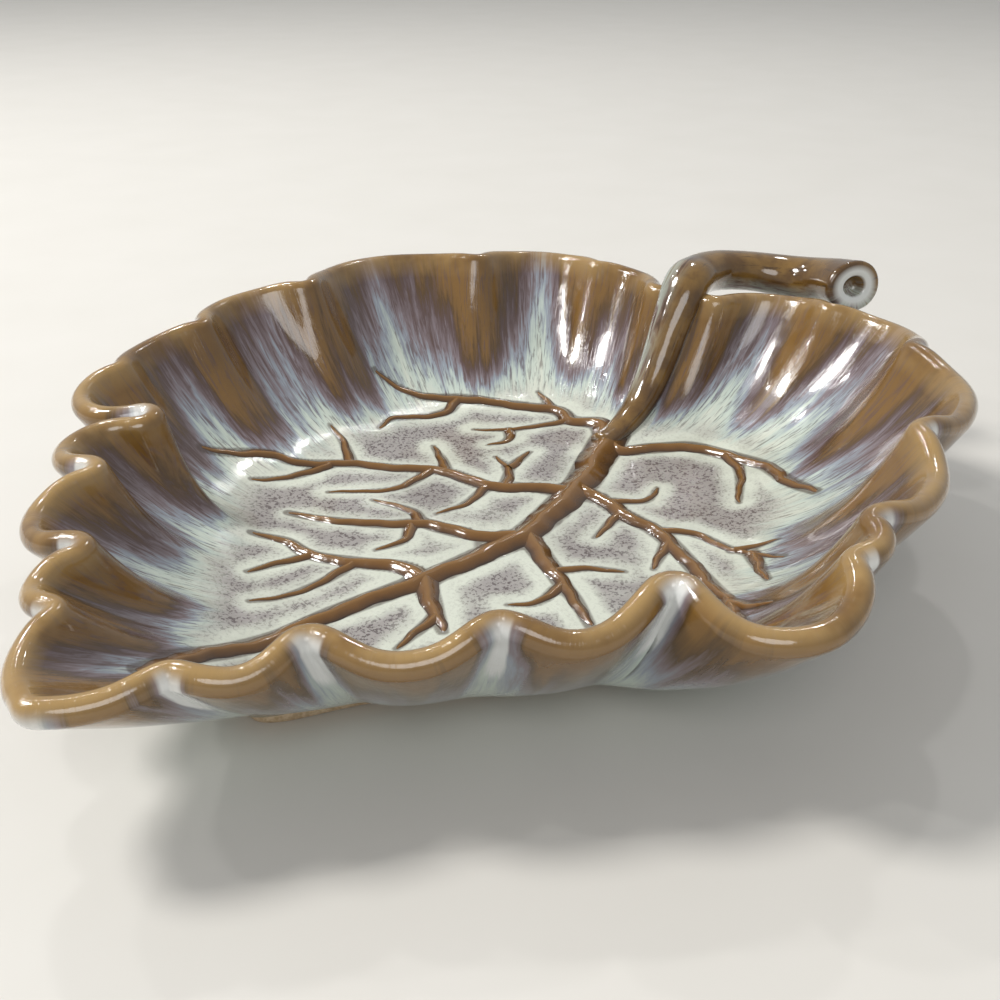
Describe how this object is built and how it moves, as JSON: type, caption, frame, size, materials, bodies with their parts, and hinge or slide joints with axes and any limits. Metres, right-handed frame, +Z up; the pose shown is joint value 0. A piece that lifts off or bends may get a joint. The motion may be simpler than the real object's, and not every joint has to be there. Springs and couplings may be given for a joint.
{
  "type": "leaf-shaped ring dish",
  "caption": "Glazed stoneware ring dish in the shape of a scalloped leaf, with raised veins on its floor, a low foot ring and a looped stem handle",
  "frame": {"origin": "middle of the foot ring's face, on the surface that the dish stands on", "axes": "+X along the midrib towards the stem handle, with the leaf's tip at -X; +Y to the side of the leaf that lies away from the handle's free end; +Z up out of the dish"},
  "size_m": [0.2237, 0.1749, 0.0446],
  "materials": {
    "reactive_glaze": "glossy reactive glaze, brown at the lip and creases, running through mauve and grey-blue to pale celadon",
    "stem_glaze": "glossy olive-brown glaze with pale celadon streaks and a white ring on the cut end",
    "vein_glaze": "glossy amber-brown glaze broken thin over the raised veins",
    "bare_clay": "matt unglazed fired clay"
  },
  "bodies": {
    "root": {"leaf_bowl": "reactive_glaze", "foot_ring": "bare_clay", "stem_handle": "stem_glaze", "midrib": "vein_glaze", "vein_far_1": "vein_glaze", "vein_far_2": "vein_glaze", "vein_far_3": "vein_glaze", "vein_far_4": "vein_glaze", "vein_near_1": "vein_glaze", "vein_near_2": "vein_glaze", "vein_near_3": "vein_glaze", "vein_near_4": "vein_glaze"}
  },
  "joints": []
}
